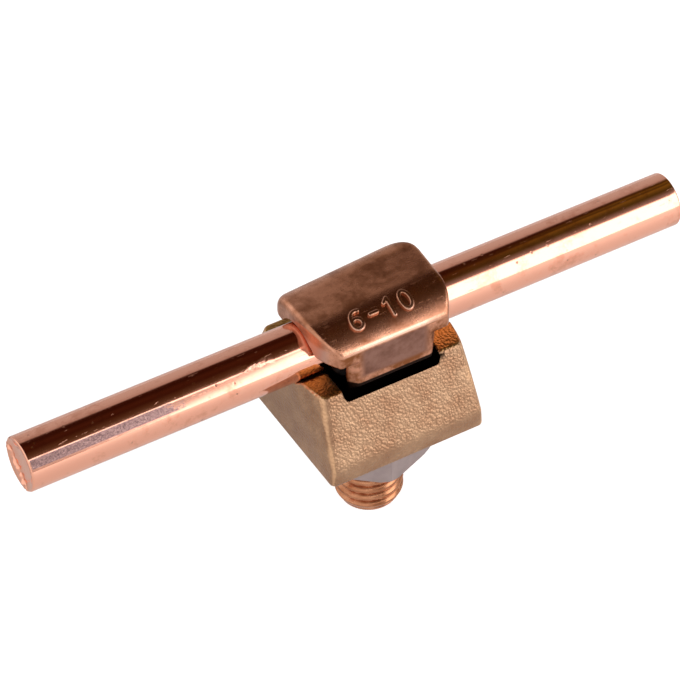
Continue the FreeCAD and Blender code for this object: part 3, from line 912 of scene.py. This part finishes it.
@dataclass
class RoundConductor:
    """Straight drawn rod, its right end rounded over and its left end sheared off with a cutter.

    The cutter left a dished face, burrs across it and three facets on the rim.
    """

    across: float = 1.5
    up: float = 15.5
    radius: float = 4.0
    left: float = -53.5
    right: float = 50.45
    end_radius: float = 0.25
    rim_radius: float = 0.3
    burr_at: Pair = (2.3, 0.0)
    burr_facing: Pair = (0.642, -0.766)
    burr_height: float = 0.40
    dish: float = 0.36
    facets: tuple[Pair, ...] = ((21.0, 3.72), (-52.0, 3.82), (-98.0, 3.84))
    facet_slope: float = 1.1

    def sheared(self, y: Array, z: Array) -> Array:
        """Return the sheared face's X at (y, z) from the axis: a shallow dish crossed by ragged burrs."""
        beyond = (y - self.burr_at[0]) * self.burr_facing[0] + (z - self.burr_at[1]) * self.burr_facing[1]
        beside = y * self.burr_facing[1] - z * self.burr_facing[0]
        wander = beyond + 0.16 * np.sin(2.1 * beside + 0.6) + 0.08 * np.sin(5.3 * beside)
        ragged = 0.7 + 0.3 * np.sin(4.4 * beside + 1.0) * np.sin(1.9 * beside)
        burr = np.exp(-((wander / 0.17) ** 2)) + 0.6 * np.exp(-(((wander - 0.8) / 0.14) ** 2))
        inside = 1 - np.clip(np.hypot(y, z) / self.radius, 0, 1) ** 6
        sunk = self.dish * (1 + 0.15 * np.sin(1.3 * y + 0.4) * np.sin(1.1 * z))
        sunk = sunk - self.burr_height * ragged * burr
        return self.left + np.maximum(0.04 + inside * sunk, 0)

    def outline(self, turn: Array, depth: Array) -> Array:
        """Return the rod's radius at an angle, at a depth behind the sheared face: round, less the facets."""
        inward = np.clip(1 - depth / self.rim_radius, 0, 1)
        radius = self.radius - self.rim_radius * (1 - np.sqrt(1 - inward**2)) + 0 * turn
        for middle, reach in self.facets:
            facing = np.maximum(np.cos(turn - math.radians(middle)), 0.05)
            radius = np.minimum(radius, (reach + self.facet_slope * depth) / facing)
        return radius

    def build(self) -> Object:
        """Build the rod as rings round its axis, from the sheared face along the shaft to the right end."""
        turn = np.linspace(0, 2 * np.pi, 240, endpoint=False)[None, :]
        share = np.linspace(0, 1, 56)[:, None]
        rim = self.outline(turn, np.zeros((1, 1)))
        face_r = share * rim
        face_x = self.sheared(face_r * np.cos(turn), face_r * np.sin(turn))
        depth = np.concatenate([np.linspace(0.03, self.rim_radius, 8), np.linspace(0.4, 3.0, 14)])[:, None]
        near_r = self.outline(turn, depth)
        rest = np.clip(depth / 3, 0, 1)
        near_x = face_x[-1:] * (1 - rest) + self.left * rest + depth
        shaft_x = np.linspace(self.left + 4.0, self.right - self.end_radius, 90)[:, None] + 0 * turn
        arc = np.linspace(0, np.pi / 2, 8)[1:, None]
        end_x = self.right - self.end_radius + self.end_radius * np.sin(arc) + 0 * turn
        end_r = self.radius - self.end_radius * (1 - np.cos(arc)) + 0 * turn
        cap_r = np.linspace(self.radius - self.end_radius, 0, 8)[1:, None] + 0 * turn
        radius = np.concatenate([face_r, near_r, np.full(shaft_x.shape, self.radius), end_r, cap_r])
        along = np.concatenate([face_x, near_x, shaft_x, end_x, np.full(cap_r.shape, self.right)])
        y, z = self.across + radius * np.cos(turn), self.up + radius * np.sin(turn)
        points = np.stack([along, y, z], axis=-1).reshape(-1, 3)
        piece = mesh_object("conductor_rod", DRAWN_COPPER.build(), points, tube_faces(len(radius), turn.size))
        close_doubles(piece)
        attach(piece, "clamp")
        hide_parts("round_conductor")
        return piece


@dataclass
class SpringWasher:
    """Split lock washer, pressed flat, its slanting split at the back."""

    bore: float = 5.3
    width: float = 3.4
    thickness: float = 1.8
    split: float = 0.7
    radius: float = 0.3
    steps: int = 160

    def build(self) -> Object:
        """Build the ring as a rounded rectangle carried round most of a turn, its ends slanting."""
        corner = np.linspace(0, np.pi / 2, 4)
        w, t = self.width / 2 - self.radius, self.thickness / 2 - self.radius
        spots = [(w, t, 0), (-w, t, 1), (-w, -t, 2), (w, -t, 3)]
        across = np.concatenate([a + self.radius * np.cos(corner + q * np.pi / 2) for a, _, q in spots])
        up = np.concatenate([b + self.radius * np.sin(corner + q * np.pi / 2) for _, b, q in spots])
        middle = self.bore + self.width / 2
        share = np.linspace(0, 1, self.steps)
        gap = self.split / middle
        turn = np.pi / 2 + gap / 2 + share[:, None] * (2 * np.pi - gap)
        turn = turn - up[None, :] / middle
        reach = middle + across[None, :]
        level = up[None, :] - self.thickness / 2 + 0 * turn
        ring = np.stack([reach * np.cos(turn), reach * np.sin(turn), level], axis=-1)
        caps = ring[[0, -1]].mean(axis=1, keepdims=True) + 0 * ring[[0, -1]]
        points = np.concatenate([caps[:1], ring, caps[1:]]).reshape(-1, 3)
        faces = tube_faces(self.steps + 2, len(across))[:, ::-1]
        piece = mesh_object("lock_washer", SPRING_STEEL.build(), points, faces)
        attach(piece, "clamp")
        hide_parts("spring_washer")
        return piece


@dataclass
class HexNut:
    """Thin hexagon nut with bevelled corners and a countersunk bore."""

    across_flats: float = 15.5
    high: float = -1.8
    thickness: float = 4.7
    bore: float = 5.05
    countersink: float = 0.45
    face_radius: float = 8.3
    bevel_angle: float = 35.0
    turned: float = 20.5

    def build(self) -> Object:
        """Build the nut as rings round its axis.

        The outer radius is the hexagon's, half the width across flats over the cosine of the angle from
        the nearest flat's middle, under the cone that bevels both faces.

        Returns:
            The object.
        """
        around = 240
        turn = np.linspace(0, 2 * np.pi, around, endpoint=False) + math.radians(self.turned)
        off = (turn - math.radians(self.turned + 30) + np.pi / 6) % (np.pi / 3) - np.pi / 6
        hexagon = self.across_flats / 2 / np.cos(off)
        low = self.high - self.thickness
        depth = np.concatenate([np.linspace(0, 1.2, 13), np.linspace(1.4, self.thickness - 1.4, 6)])
        depth = np.concatenate([depth, self.thickness - np.linspace(1.2, 0, 13)])
        nearest = np.minimum(depth, self.thickness - depth)
        cone = self.face_radius + nearest / math.tan(math.radians(self.bevel_angle))
        outer = np.minimum(hexagon[None, :], cone[:, None])
        sink = self.countersink
        inner = [(self.bore + sink, self.high), (self.bore, self.high - sink), (self.bore, low + sink)]
        bottom = (self.bore + sink, low)
        reaches = [bottom[0]] + list(outer) + [reach for reach, _ in inner + [bottom]]
        levels = [low] + list(low + depth) + [level for _, level in inner + [bottom]]
        radius = np.array([np.zeros(around) + reach for reach in reaches])
        height = np.array(levels)[:, None] + 0 * radius
        points = np.stack([radius * np.cos(turn), radius * np.sin(turn), height], axis=-1).reshape(-1, 3)
        piece = mesh_object("thin_nut", ZINC_PLATE.build(), points, tube_faces(len(levels), around))
        close_doubles(piece)
        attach(piece, "nut")
        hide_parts("hex_nut")
        return piece


# Studio


@dataclass
class Studio:
    """Camera, white floor and the surroundings that the metal mirrors.

    Seen from the object, the room is a dark ceiling with a warm tone, a grey back wall, a dim front, and one
    bright soft box in front on the right. Angles are measured round X from the front horizon: 90 is
    straight up and 180 the back horizon.
    """

    target: Spot = (0.0, 1.5, 0.0)
    azimuth: float = -30.81
    elevation: float = 44.82
    distance: float = 533.77
    lens: float = 200.1
    shift: Pair = (-0.0340, 0.0923)
    floor_up: float = -16.2
    floor_half: float = 1500.0
    floor_glow: float = 0.75
    box_strength: float = 3.0
    box_left: Pair = (0.300, 0.322)
    box_slant: float = 0.06
    box_right: Pair = (0.80, 0.66)
    box_rise_from: float = 0.45
    box_rise: float = 1.0
    left_wall: Pair = (-0.2, -0.5)

    def build_camera(self) -> None:
        """Place the camera on the photograph's line of sight."""
        a, e = math.radians(self.azimuth), math.radians(self.elevation)
        back = Vector((math.sin(a) * math.cos(e), -math.cos(a) * math.cos(e), math.sin(e)))
        data = bpy.data.cameras.new("camera")
        data.lens = self.lens
        data.sensor_width = 36.0
        data.shift_x, data.shift_y = self.shift
        data.clip_start = 0.01
        data.clip_end = 20.0
        camera = bpy.data.objects.new("camera", data)
        camera.location = (Vector(self.target) + back * self.distance) * MM
        camera.rotation_mode = "QUATERNION"
        camera.rotation_quaternion = (-back).to_track_quat("-Z", "Y")
        bpy.context.scene.collection.objects.link(camera)
        bpy.context.scene.camera = camera

    def build_floor(self) -> None:
        """Lay a plain white sheet that keeps the shadow and shows white to the camera.

        Metal sees it as a painted glow instead: paler far in front of the object on the right, with painted
        shade close by and behind that stands for the object's shadow and the soft box's fall-off.
        """
        half, up = self.floor_half * MM, self.floor_up * MM
        mesh = bpy.data.meshes.new("floor")
        corners = [(-half, -half, up), (half, -half, up), (half, half, up), (-half, half, up)]
        mesh.from_pydata(corners, [], [(0, 1, 2, 3)])
        floor = bpy.data.objects.new("floor", mesh)
        bpy.context.scene.collection.objects.link(floor)
        made = bpy.data.materials.new("white_sheet")
        add = start_nodes(made)
        matt = add("BsdfDiffuse", (srgb("e7e7e7"),))
        x, y, _ = add("SeparateXYZ", (add("TexCoord").outputs["Object"],)).outputs
        # Painted shade: to glossy rays the floor glows, darker near and behind the object and on the left,
        # standing for its shadow and the light's fall-off.
        depth = add("MapRange", (y, 0.05, -0.25))
        shade_greys = [(0.05, "6e6e6e"), (0.2, "a3a3a3"), (0.3, "b5b5b5"), (0.42, "c8c8c8"), (0.95, "e4e4e4")]
        side = add("MapRange", (x, -0.03, 0.09, 0.64, 1.0))
        painted_floor_shade = add("Emission", (add("ValToRGB", (depth,), shade_greys), side))
        seen = add("Emission", (srgb("ffffff"), self.floor_glow))
        path = add("LightPath").outputs
        shine = add("Math", (path["Is Glossy Ray"], path["Is Transmission Ray"]), **LARGER)
        dull = add("MixShader", (shine, matt, add("AddShader", (matt, painted_floor_shade))))
        plain = add("AddShader", (matt, seen))
        add("OutputMaterial", (add("MixShader", (path["Is Camera Ray"], dull, plain)),))
        mesh.materials.append(made)

    def build_world(self) -> None:
        """Paint the room by direction: two strips over the angle round X, one of them with the soft box."""
        world = bpy.data.worlds.new("room")
        bpy.context.scene.world = world
        add = start_nodes(world)
        x, y, z = add("SeparateXYZ", (add("TexCoord").outputs["Generated"],)).outputs
        front = add("Math", (y, -1.0), **TIMES)
        above = add("Math", (z, 0.0), **LARGER)
        angle = add("Math", (above, front), operation="ARCTAN2")
        right = add("Math", (x, self.box_rise_from), operation="SUBTRACT")
        right = add("Math", (right, 0.0), **LARGER)
        angle = add("Math", (right, -self.box_rise, angle), **TIMES_PLUS)
        share = add("MapRange", (angle, 0.0, math.pi))
        wall = [(131, "6b6461"), (145, "747170"), (180, "7a7877")]
        lit = [(0, "ffffff"), (50, "ffffff"), (56, "665e5b"), (64, "4e4745"), (73, "3a3324"), (80, "2b2308")]
        lit += [(90, "372d0e"), (99, "483a11"), (105, "2a1f07"), (112, "42350f"), (119, "261804")]
        lit += [(125, "382d11"), *wall]
        dim = [(0, "7a7877"), (44.5, "767474"), (46, "ffffff"), (48.7, "ffffff"), (50, "4a4038")]
        dim += [(60, "33261a"), (72, "2a1a0e"), (84, "200c05"), (98, "251007"), (112, "1a0803")]
        dim += [(125, "200c05"), *wall]
        dim_strip, lit_strip = (
            add("ValToRGB", (share,), [(degrees / 180, code) for degrees, code in strip])
            for strip in (dim, lit)
        )
        slanted = add("Math", (angle, -self.box_slant, x), **TIMES_PLUS)
        limits = ((slanted, *self.box_left), (x, *self.box_right), (x, *self.left_wall))
        starts, ends, far_left = (add("MapRange", limit, **SMOOTH) for limit in limits)
        inside = add("Math", (starts, ends), **TIMES)
        camera = add("LightPath").outputs["Is Camera Ray"]
        room = dim_strip
        for mask, coat in ((inside, lit_strip), (far_left, srgb("a2a2a2")), (camera, srgb("ffffff"))):
            room = add("Mix", {0: mask, 6: room, 7: coat}, **RGBA)
        add("OutputWorld", (add("Background", (room, self.box_strength)),))

    def build(self) -> None:
        """Build the whole studio."""
        self.build_camera()
        self.build_floor()
        self.build_world()
        bpy.context.scene.view_settings.view_transform = "Standard"


def main() -> None:
    """Build the connector's pieces in order, then the studio, and report each piece."""
    logging.basicConfig(level=logging.INFO, format="%(message)s")
    made = [CastBlock().build(), *HookBolt().build(), RoundConductor().build()]
    made += [SpringWasher().build(), HexNut().build()]
    for piece in made:
        LOG.info("%s: %d faces", piece.name, len(piece.data.polygons))
    Studio().build()


if __name__ == "__main__":
    main()
